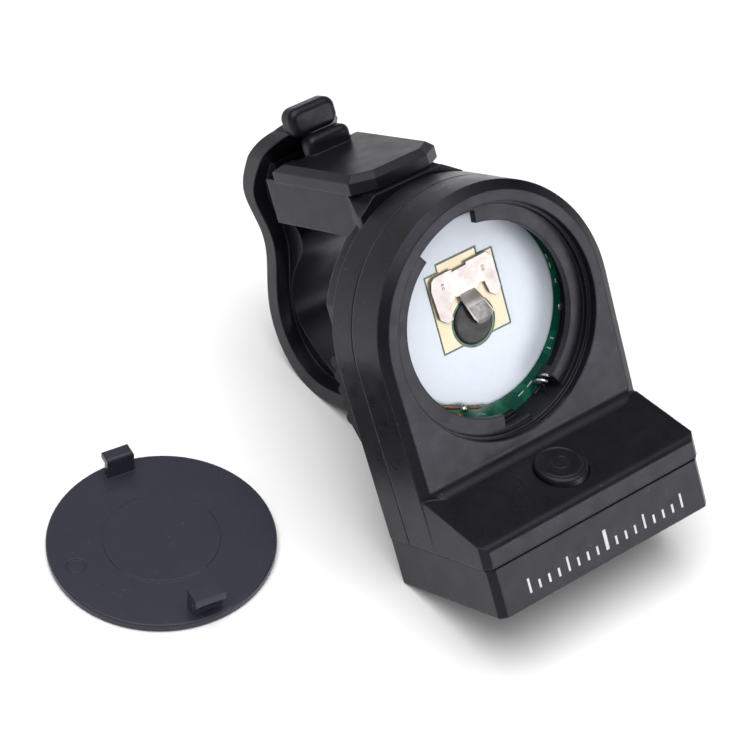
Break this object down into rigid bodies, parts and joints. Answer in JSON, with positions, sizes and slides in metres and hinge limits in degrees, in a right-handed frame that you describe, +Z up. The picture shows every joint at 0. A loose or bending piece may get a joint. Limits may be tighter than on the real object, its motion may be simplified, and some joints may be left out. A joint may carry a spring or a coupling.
{
  "type": "clip on tuner",
  "caption": "Clip-on instrument tuner: round battery drum on a display foot, sprung clip turning on a swivel, and its battery door lying beside it.",
  "frame": {"origin": "middle of the footprint of the standing tuner and the door lying beside it, at table level", "axes": "+Z up; the battery opening and the foot's text face look towards -Y and up; the clip stands behind towards +Y; +X across the head, the loose door lies on the -X side"},
  "size_m": [0.0582, 0.0576, 0.0389],
  "materials": {
    "shell_plastic": "black moulded plastic, fine satin texture",
    "cap_plastic": "black moulded plastic, satin",
    "clip_plastic": "black moulded plastic, satin",
    "door_plastic": "black moulded plastic, satin with tool marks",
    "window_plastic": "tinted clear plastic",
    "display_glass": "liquid crystal cell",
    "light_guide_plastic": "white diffusing plastic",
    "board_green": "green circuit board lacquer",
    "switch_body": "black switch body",
    "switch_stem": "black switch stem",
    "film_white": "bluish white insulating film",
    "plated_gold": "gold plated pad",
    "dark_rubber": "grey foam rubber",
    "contact_metal": "nickel plated spring sheet",
    "component_black": "moulded chip packages",
    "sensor_brass": "brass disc of the vibration sensor",
    "flex_film": "amber flexible circuit",
    "button_rubber": "dark grey soft button",
    "washer_nylon": "natural nylon washer",
    "washer_steel": "stamped steel",
    "screw_steel": "zinc plated steel",
    "pin_steel": "ground steel pin",
    "spring_steel": "spring wire",
    "pad_rubber": "black soft rubber"
  },
  "bodies": {
    "head": {"rear_shell": "shell_plastic", "front_shell": "shell_plastic", "housing_screws": "screw_steel", "display_cap": "cap_plastic", "display_window": "window_plastic", "display_panel": "display_glass", "light_guide": "light_guide_plastic", "display_board": "board_green", "tact_switch": "switch_body", "circuit_board": "board_green", "insulating_film": "film_white", "contact_pad": "plated_gold", "sensor_grommet": "dark_rubber", "negative_contact": "contact_metal", "positive_contact": "contact_metal", "circuit_components": "component_black", "vibration_sensor": "sensor_brass", "flex_cable": "flex_film"},
    "button": {"power_button": "button_rubber", "switch_plunger": "switch_stem"},
    "clip": {"swivel_hub": "clip_plastic", "friction_washer": "washer_nylon", "retaining_washer": "washer_steel", "pivot_screw": "screw_steel", "fixed_jaw": "clip_plastic", "arm_cover": "clip_plastic", "fixed_jaw_pad": "pad_rubber", "hinge_pin": "pin_steel", "torsion_spring": "spring_steel"},
    "jaw": {"moving_jaw": "clip_plastic", "moving_jaw_pad": "pad_rubber"},
    "door": {"battery_door": "door_plastic"}
  },
  "joints": [
    {"name": "clip_swivel", "type": "hinge", "parent": "head", "child": "clip", "pos_m": [0.01462, -0.00062, 0.02187], "axis": [0, -0.8714, 0.4906], "continuous": true},
    {"name": "jaw_open", "type": "hinge", "parent": "clip", "child": "jaw", "pos_m": [0.01462, 0.01808, 0.02615], "axis": [1, 0, 0], "range_deg": [0, 25], "stiffness_Nm_per_rad": 0.1, "springref_deg": -28.65},
    {"name": "button_press", "type": "slide", "parent": "head", "child": "button", "axis": [0, -0.4906, -0.8714], "range_m": [0, 0.0004], "stiffness_N_per_m": 1500, "springref_m": -0.0002},
    {"name": "door_fit", "type": "hinge", "parent": "head", "child": "door", "pos_m": [-0.00094, -0.00158, 0.01308], "axis": [-0.0269, 0.863, 0.5045], "range_deg": [0, 150]}
  ]
}
